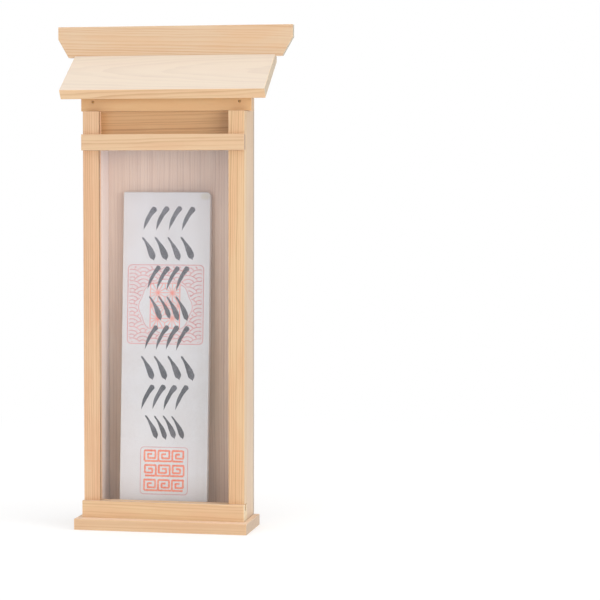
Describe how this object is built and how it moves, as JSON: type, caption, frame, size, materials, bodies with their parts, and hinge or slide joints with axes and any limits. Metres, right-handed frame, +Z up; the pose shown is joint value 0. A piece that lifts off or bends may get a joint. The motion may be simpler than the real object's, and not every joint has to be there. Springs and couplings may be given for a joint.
{
  "type": "household altar cabinet",
  "caption": "Slim standing altar cabinet of plain cypress with a sloping roof, upright ridge board, clear front sheet and a folded-paper talisman leaning inside.",
  "frame": {"origin": "middle of the footprint, front to back and side to side, at the height of the surface that the cabinet stands on", "axes": "+X to the viewer's right, +Y towards the back, +Z up"},
  "size_m": [0.185, 0.054, 0.3832],
  "materials": {
    "base": "planed, unfinished",
    "bottom_rail": "planed, unfinished",
    "posts": "planed, unfinished, fine upright grain",
    "crossbar": "planed, unfinished",
    "top_rail": "planed, unfinished",
    "upper_panel": "planed, unfinished",
    "sides": "planed, unfinished",
    "back": "planed, unfinished",
    "roof": "planed, unfinished, flat grain",
    "ridge": "planed, unfinished",
    "nails": "dull, darkened brass",
    "clear_front": "clear, glossy acrylic",
    "paper": "matt folded paper with grey brush strokes and red stamped frames"
  },
  "bodies": {
    "root": {"base_board": "base", "bottom_rail": "bottom_rail", "stile_left": "posts", "stile_right": "posts", "crossbar": "crossbar", "top_rail": "top_rail", "brad_left": "nails", "brad_right": "nails", "upper_panel": "upper_panel", "side_left": "sides", "side_right": "sides", "back_panel": "back", "roof_board": "roof", "ridge_board": "ridge", "clear_sheet": "clear_front", "talisman": "paper"}
  },
  "joints": []
}
